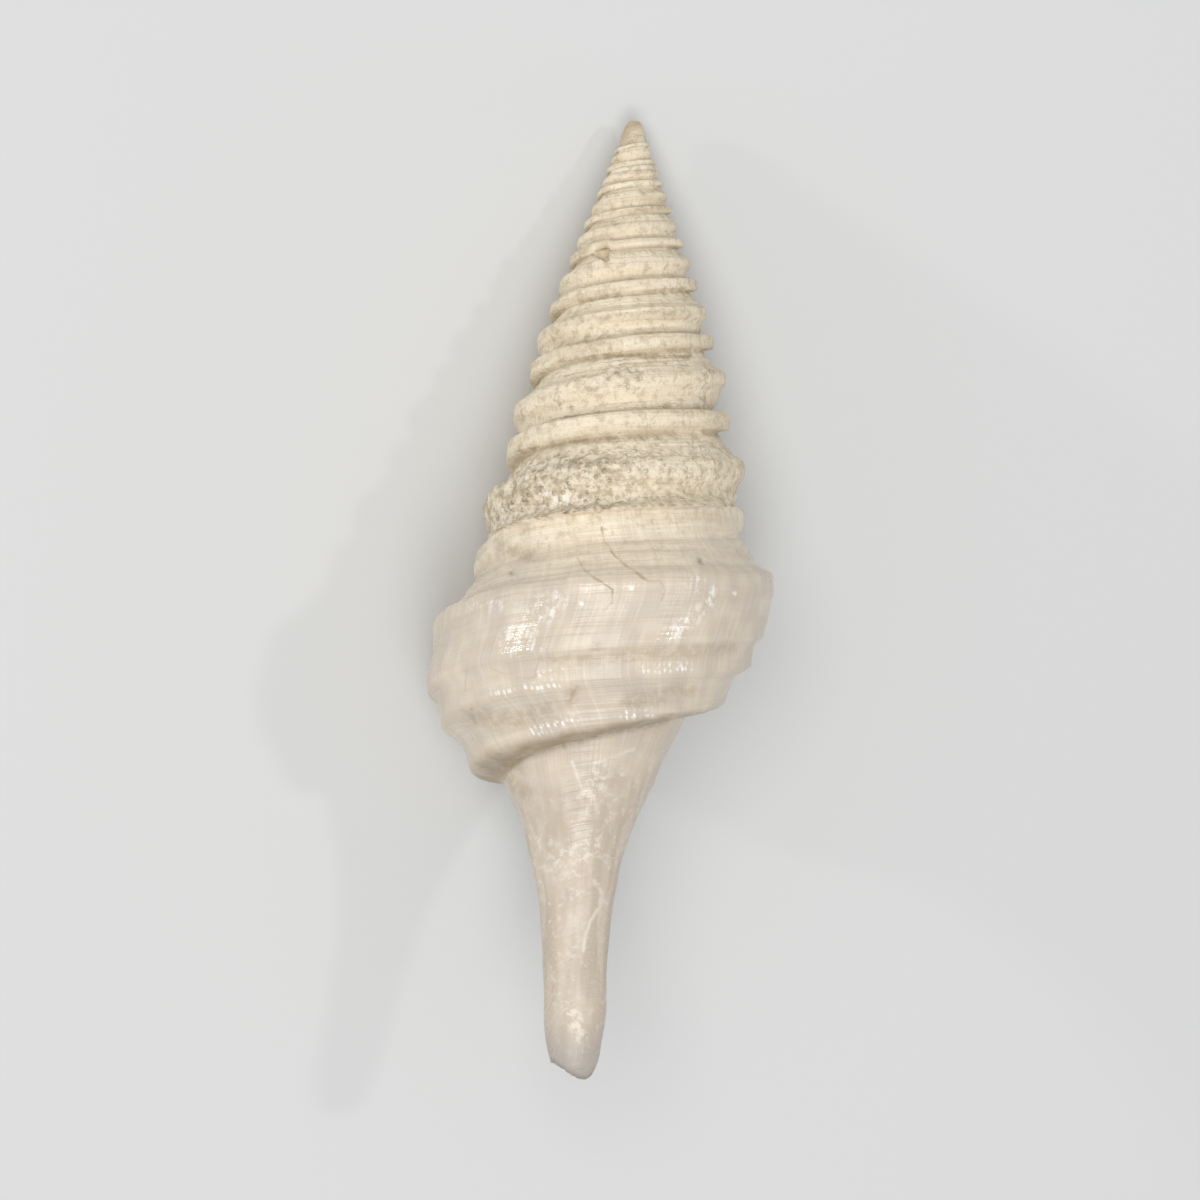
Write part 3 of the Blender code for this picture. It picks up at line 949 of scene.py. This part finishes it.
class Graph:
    """Shader nodes written as formulas over sockets and numbers."""

    def __init__(self, tree):
        self.tree = tree

    def node(self, kind, inputs, **settings):
        made = self.tree.nodes.new(kind)
        for name, value in settings.items():
            setattr(made, name, value)
        for key, value in inputs.items():
            if isinstance(value, bpy.types.NodeSocket):
                self.tree.links.new(value, made.inputs[key])
            else:
                made.inputs[key].default_value = value
        return made

    def math(self, operation, *values):
        """One operation carried through all the values in turn."""
        result = values[0]
        for value in values[1:]:
            made = self.node("ShaderNodeMath", {0: result, 1: value}, operation=operation)
            result = made.outputs[0]
        return result

    def times(self, *values):
        return self.math("MULTIPLY", *values)

    def rise(self, value, start, end, low=0.0, high=1.0):
        """Goes smoothly from low to high as the value goes from start to end."""
        inputs = {"Value": value, "From Min": start, "From Max": end, "To Min": low, "To Max": high}
        made = self.node("ShaderNodeMapRange", inputs, interpolation_type="SMOOTHSTEP", clamp=True)
        return made.outputs[0]

    def vector(self, operation, *values):
        made = self.node("ShaderNodeVectorMath", dict(enumerate(values)), operation=operation)
        return made.outputs["Value" if operation in ("DISTANCE", "DOT_PRODUCT") else "Vector"]

    def stretch(self, vector, x, y, z):
        return self.vector("MULTIPLY", vector, (x, y, z))

    def noise(self, vector, scale, detail, roughness, dimensions="3D"):
        inputs = {"Vector": vector, "Scale": scale, "Detail": detail, "Roughness": roughness}
        return self.node("ShaderNodeTexNoise", inputs, noise_dimensions=dimensions).outputs["Fac"]

    def grain_noise(self, grain, scales, detail, roughness):
        return self.noise(self.stretch(grain, *scales, 1), 1.0, detail, roughness, "2D")

    def centred(self, noise_value):
        return self.math("SUBTRACT", noise_value, 0.5)

    def look(self, name):
        """A pattern that is kept with the mesh's points."""
        return self.node("ShaderNodeAttribute", {}, attribute_name=name).outputs["Fac"]

    def mix(self, share, a, b):
        """Colour a where the share is 0, and b where it is 1."""
        return self.node("ShaderNodeMix", {0: share, 6: a, 7: b}, data_type="RGBA").outputs[2]

    def near(self, flat, points):
        """Distance on the flat from a point or from the line through several."""
        if len(points) == 1:
            return self.vector("DISTANCE", flat, tuple(points[0]))
        distances = []
        for start, end in zip(points, points[1:]):
            run = end - start
            offset = self.vector("SUBTRACT", flat, tuple(start))
            along = self.vector("DOT_PRODUCT", offset, tuple(run / run.length_squared))
            held = self.node("ShaderNodeClamp", {"Value": along}).outputs[0]
            reach = self.node("ShaderNodeVectorMath", {0: tuple(run), "Scale": held}, operation="SCALE")
            distances.append(self.vector("DISTANCE", offset, reach.outputs[0]))
        return self.math("MINIMUM", *distances)


def shell_colours(g, place_mm, grain, marks):
    """The colour of the surface: pearly last whorl, chalky spire, crust, dirt and stains with painted
    shade, painted glints and highlights, and marks.
    """
    bands = g.look("bands")
    mottle = g.noise(place_mm, *MOTTLE)
    streaks = g.grain_noise(grain, *STREAKS)
    pearl = g.mix(g.look("warm"), PEARL_COOL, PEARL_WARM)
    pearl = g.mix(g.times(g.math("SUBTRACT", 1.0, bands), BAND_STRENGTH), pearl, STREAK)
    cream = g.mix(bands, CREAM_DARK, CREAM_LIGHT)
    cream = g.mix(g.rise(mottle, *DIRTY_CREAM), cream, CREAM_DIRT)
    base = g.mix(g.look("cream"), pearl, cream)
    base = g.mix(g.rise(streaks, *DARK_STREAKS), base, STREAK)
    base = g.mix(g.rise(streaks, *PALE_STREAKS), base, GLOSS_WHITE)
    canal = g.mix(g.look("lengthwise"), CANAL_DARK, CANAL_LIGHT)
    canal = g.mix(g.look("pinkish"), canal, CANAL_PINK)
    canal = g.mix(g.rise(mottle, *DARK_CANAL), canal, STREAK)
    canal = g.mix(g.rise(mottle, *PALE_CANAL), canal, GLOSS_WHITE)
    for name, tone in (("neck", canal), ("tip", TIP_GREY), ("apex", APEX_BROWN)):
        base = g.mix(g.look(name), base, tone)
    crusty = g.mix(g.rise(mottle, *CRUST_SPOTS), CRUST_LIGHT, CRUST_DARK)
    base = g.mix(g.times(g.look("crust"), CRUST_STRENGTH), base, crusty)
    # Dirt and painted shade in the grooves and the crease
    base = g.mix(g.look("dirt_and_shade"), base, DIRT_AND_SHADE_BROWN)
    # Pale wear, partly painted highlight
    base = g.mix(g.times(g.look("wear_and_highlight"), g.rise(mottle, *WEAR_AND_HIGHLIGHT_GAPS)), base, GLOSS_WHITE)
    # Stains, partly painted shade
    base = g.mix(g.times(g.look("stain_and_shade"), g.rise(mottle, *STAIN_AND_SHADE_GAPS)), base, DIRT_AND_SHADE_BROWN)
    # Painted glints on the beads
    painted_glints = g.times(g.look("glint_and_polish"), beads(g, grain), g.rise(streaks, *GLINT_GAPS))
    base = g.mix(painted_glints, base, PAINTED_GLINT)
    # Painted highlights on the glossy patches
    gloss_and_highlight = g.times(g.look("gloss_and_highlight"), g.rise(mottle, *HIGHLIGHT_GAPS), g.rise(streaks, *HIGHLIGHT_STREAKS))
    base = g.mix(g.times(gloss_and_highlight, HIGHLIGHT_STRENGTH), base, PAINTED_GLINT)
    for name, (_, _, tone, strength) in MARK_COLOURS.items():
        base = g.mix(g.times(marks[name], strength), base, tone)
    return base


def beads(g, grain):
    """Round beads in rows: 1 at their middles, 0 between."""
    inputs = {"Vector": g.stretch(grain, *BEADS_PER_MM, 1), "Scale": 1.0, "Randomness": BEAD_RANDOMNESS}
    cells = g.node("ShaderNodeTexVoronoi", inputs, voronoi_dimensions="2D")
    return g.rise(cells.outputs["Distance"], *BEAD_EDGE)


def shell_heights(g, place_mm, grain, marks):
    """Fine relief in millimetres: growth lines, spiral striae, beads, chalk grain and crust."""
    chalk = g.look("chalk")
    growth = g.centred(g.grain_noise(grain, *GROWTH_LINES))
    striae = g.centred(g.grain_noise(grain, *STRIAE))
    grit = g.centred(g.noise(place_mm, *GRIT))
    cells = g.node("ShaderNodeTexVoronoi", {"Vector": place_mm, "Scale": BUBBLES_PER_MM})
    bubbles = g.rise(cells.outputs["Distance"], *BUBBLE_EDGE)
    neck = g.rise(g.look("neck"), 0, 1, *NECK_LINES)
    return g.math(
        "ADD",
        g.times(growth, g.rise(chalk, 0, 1, *GROWTH_LINE_HEIGHTS), neck),
        g.times(striae, g.rise(chalk, 0, 1, *STRIA_HEIGHTS)),
        g.times(beads(g, grain), g.look("glint_and_polish"), BEAD_HEIGHT),
        g.times(grit, g.rise(chalk, 0, 1, *GRIT_HEIGHTS)),
        g.times(bubbles, g.look("crust"), BUBBLE_HEIGHT),
        g.times(marks["scar_and_highlight"], SCAR_HEIGHT),
        g.times(marks["crack"], CRACK_HEIGHT),
    )


def mark_strengths(g, place_mm, faces, stand):
    """How strongly each kind of mark shows, from distances measured in the picture's plane."""
    right, up = stand.to_3x3().col[:2]
    shake = g.node("ShaderNodeTexNoise", {"Vector": place_mm, "Scale": SHAKE_SCALE, "Detail": 1.0})
    offset = g.vector("SUBTRACT", shake.outputs["Color"], (0.5, 0.5, 0.5))
    offset = g.stretch(offset, MARK_SHAKE, MARK_SHAKE, MARK_SHAKE)
    shaken = g.vector("ADD", place_mm, offset)
    sides = [g.vector("DOT_PRODUCT", shaken, tuple(side)) for side in (right, up)]
    flat = g.node("ShaderNodeCombineXYZ", dict(enumerate(sides))).outputs[0]
    front = g.times(g.look("front"), g.rise(shake.outputs["Fac"], *MARK_FADES))
    marks = {}
    for name, (inner, outer, _, _) in MARK_COLOURS.items():
        distances = []
        for pixels in MARKS[name]:
            points = [Vector((p.dot(right), p.dot(up), 0)) for p in on_surface(faces, stand, pixels)]
            distances.append(g.near(flat, points))
        closest = g.math("MINIMUM", *distances)
        marks[name] = g.times(front, g.rise(closest, inner, outer, 1.0, 0.0))
    return marks


def shell_material(faces, stand):
    material, surface = new_material("shell")
    g = Graph(material.node_tree)
    object_place = g.node("ShaderNodeTexCoord", {}).outputs["Object"]
    place_mm = g.stretch(object_place, 1 / MM, 1 / MM, 1 / MM)
    grain = g.node("ShaderNodeUVMap", {}, uv_map="grain").outputs[0]
    marks = mark_strengths(g, place_mm, faces, stand)
    links = g.tree.links
    links.new(shell_colours(g, place_mm, grain, marks), surface.inputs["Base Color"])
    links.new(g.look("roughness"), surface.inputs["Roughness"])
    heights = shell_heights(g, place_mm, grain, marks)
    bump = g.node("ShaderNodeBump", {"Height": heights, "Distance": MM})
    links.new(bump.outputs[0], surface.inputs["Normal"])
    surface.inputs["IOR"].default_value = SHELL_IOR
    return material


def in_patches(pixels, facing, areas):
    """How strongly each point lies in one of the patches of the picture, 0 to 1."""
    strength = np.zeros(len(pixels))
    for half_width, *line in areas:
        corners = np.array(line, float)
        for start, end in zip(corners, corners[1:]):
            run = end - start
            along = np.clip((pixels - start) @ run / (run @ run), 0, 1)
            apart = np.linalg.norm(pixels - start - along[:, None] * run, axis=1)
            strength = np.maximum(strength, 1 - across(PATCH_EDGE, apart / half_width))
    return strength * across(PATCH_FACING, facing)


def store_looks(mesh, points, normals, turn, share, crust):
    """The broad patterns of colour, with painted shade and painted highlights, and of gloss, kept with the
    mesh's points.
    """
    outside = turn >= 0
    pixels = in_picture(points)
    facing = facing_camera(points, normals)
    neck = across((NECK_SHARE_START, NECK_SHARE_START + NECK_JOIN), share) * outside
    tip = across((NECK_SHARE_START + TIP_START, NECK_SHARE_START + 1), share)
    chalk = across(CHALK_SPAN, turn) * (1 - neck)
    # Cream also lies in patches on the last whorl's strap and shoulder
    shoulder = between(share, *CREAM_SHARES) * (1 - across(CREAM_FADES, share)) * outside
    cream = np.maximum(chalk, shoulder * patches(points, "cream"))
    crown = np.clip(turn, 0, TURNS)
    along = length_along(crown)
    down = share * whorl_height(crown)
    banded = BAND_SHARE * (lines(along, down, *BANDS) + lines(along, down, *STRIPES))
    # Dirt and painted shade lie in the spire's grooves and in the crease over the neck
    spots = patches(points, "dirt_and_shade")
    dirt_and_shade = GROOVE_DIRT_AND_SHADE * groove_depth(share) * across(DIRT_AND_SHADE_SPAN, turn) * spots
    crease = bump_at(share, *CREASE) * (1 - across(CREASE_END, turn)) * outside
    dirt_and_shade = np.maximum(dirt_and_shade, CREASE_DIRT_AND_SHADE * crease * between(spots, *CREASE_PATCHES))
    # Gloss and painted highlights are placed at listed pixels where the picture shows the surface, and by
    # noise elsewhere
    hidden = across(HIDDEN_SPAN, from_back(turn)) * (1 - chalk) * outside
    # Painted glints and polish on the cords of the unseen sides
    glints_elsewhere = patches(points, "glint_and_polish") * bumps(share, GLINTING_CORDS) * hidden
    glint_and_polish = np.maximum(in_patches(pixels, facing, BEAD_ROWS), glints_elsewhere)
    gloss_and_highlight = np.maximum(in_patches(pixels, facing, GLOSSY_HIGHLIGHTS), patches(points, "gloss_and_highlight") * hidden)
    # Stains and the crease, partly painted shade
    stain_and_shade = STAIN_AND_SHADE_STRENGTH * in_patches(pixels, facing, STAINS_AND_SHADE)
    roughness = PEARL_ROUGHNESS + (CHALK_ROUGHNESS - PEARL_ROUGHNESS) * chalk
    roughness += UNEVEN_ROUGHNESS * lumps(points, *UNEVEN_LUMPS)
    roughness += DIRT_ROUGHNESS * dirt_and_shade - POLISHED * np.maximum(glint_and_polish, gloss_and_highlight)
    looks = {
        "neck": neck, "chalk": chalk, "cream": cream, "crust": crust, "dirt_and_shade": dirt_and_shade,
        "glint_and_polish": glint_and_polish, "gloss_and_highlight": gloss_and_highlight, "tip": TIP_STRENGTH * tip,
        "apex": APEX_STRENGTH * across(APEX_SPAN, points[:, 1]),
        "stain_and_shade": np.maximum(stain_and_shade, CREASE_STRENGTH * in_patches(pixels, facing, CREASES)),
        "wear_and_highlight": WEAR_AND_HIGHLIGHT_STRENGTH * in_patches(pixels, facing, WEAR_AND_HIGHLIGHTS),
        "front": across(FRONT_FACING, facing),
        "warm": patches(points, "warm"),
        "bands": between(banded, *BAND_EDGES),
        "lengthwise": patches(points * NECK_GRAIN, "lengthwise"),
        "pinkish": patches(points * NECK_GRAIN, "pinkish"),
        "roughness": np.clip(roughness, *ROUGHNESS_LIMITS),
    }
    for name, values in looks.items():
        store(mesh, name, values)


def make_shell():
    """Makes the shell in its resting place and returns the matrix that lays it there."""
    mesh = raw_shell()
    turn, share = (read(mesh.attributes[name].data, "value")[:, 0] for name in ("turn", "share"))
    points = read(mesh.vertices, "co", 3)
    normals = read(mesh.vertex_normals, "vector", 3)
    raised, crust = relief(points, normals, turn, share)
    points = points + normals * raised[:, None]
    pose = resting(points)
    store_looks(mesh, points, normals, turn, share, crust)
    points = moved(points, pose)
    points[:, 2] = np.clip(points[:, 2], 0, None)
    mesh.vertices.foreach_set("co", points.astype(np.float32).reshape(-1))
    mesh.update()
    # The flat ends of the cavity and the canal have many corners and stay flat
    mesh.polygons.foreach_set("use_smooth", [len(face.vertices) <= 4 for face in mesh.polygons])
    shell = new_object("turret_shell", mesh)
    faces = BVHTree.FromPolygons(points.tolist(), [face.vertices for face in mesh.polygons])
    mesh.materials.append(shell_material(faces, pose @ camera_stand()))
    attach(shell, "root")
    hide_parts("shell")
    return pose


def make_camera(stand):
    data = bpy.data.cameras.new("camera")
    data.sensor_width = SENSOR_WIDTH
    data.lens = SENSOR_WIDTH * CAMERA_DISTANCE / PICTURE_WIDTH
    data.clip_start = CLIP_NEAR
    data.clip_end = CLIP_FAR
    camera = new_object("camera", data)
    camera.matrix_world = stand
    bpy.context.scene.camera = camera


def make_floor():
    mesh = bpy.data.meshes.new("floor")
    half = FLOOR_HALF
    corners = [(x, y, -FLOOR_DROP) for x, y in ((-half, -half), (half, -half), (half, half), (-half, half))]
    mesh.from_pydata(corners, [], [(0, 1, 2, 3)])
    material, surface = new_material("floor")
    surface.inputs["Base Color"].default_value = FLOOR_COLOUR
    surface.inputs["Roughness"].default_value = FLOOR_ROUGHNESS
    mesh.materials.append(material)
    new_object("floor", mesh)


def make_light(pose, stand):
    """Round lamps aimed at the shell's middle."""
    for name, spot, size, power in LAMPS:
        data = bpy.data.lights.new(name, "AREA")
        data.shape = "DISK"
        data.size = size
        data.energy = power
        offset = stand.to_3x3() @ Vector(spot)
        light = new_object(name, data)
        light.location = pose @ PIVOT + offset
        light.rotation_euler = (-offset).to_track_quat("-Z", "Y").to_euler()
    world = bpy.data.worlds.new("studio")
    world.use_nodes = True
    background = world.node_tree.nodes["Background"]
    background.inputs["Color"].default_value = WORLD_COLOUR
    background.inputs["Strength"].default_value = WORLD_STRENGTH
    bpy.context.scene.world = world


pose = make_shell()
stand = pose @ camera_stand()
make_camera(stand)
make_floor()
make_light(pose, stand)
bpy.context.scene.view_settings.view_transform = "Standard"
